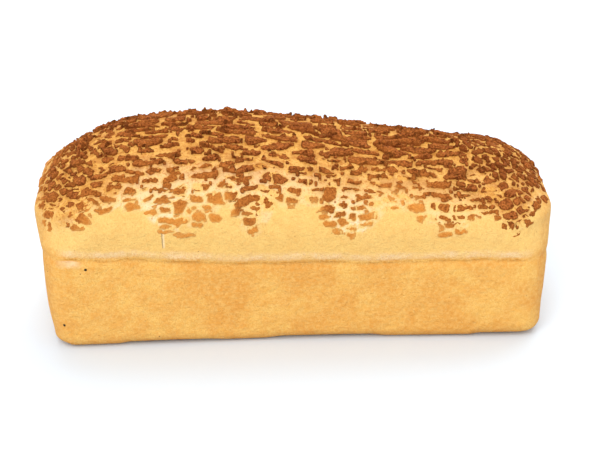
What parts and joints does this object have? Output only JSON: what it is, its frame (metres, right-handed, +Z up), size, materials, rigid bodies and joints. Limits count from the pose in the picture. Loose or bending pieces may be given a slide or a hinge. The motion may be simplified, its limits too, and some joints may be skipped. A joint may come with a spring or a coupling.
{
  "type": "tiger bread loaf",
  "caption": "Whole tin loaf with straight tapered sides, a groove where the tin's rim was and a domed top under a cracked mottled crust; lies flat on its base.",
  "frame": {"origin": "middle of the flat underside, below the middle of the bounding box", "axes": "+X along the loaf towards its lower end, +Y from the front long side to the back long side, +Z up from the surface that the loaf lies on"},
  "size_m": [0.3067, 0.1241, 0.1179],
  "materials": {
    "golden_crust": "matte baked crust, golden on the walls, with brown plates of baked rice paste on the crown"
  },
  "bodies": {
    "root": {"loaf": "golden_crust"}
  },
  "joints": []
}
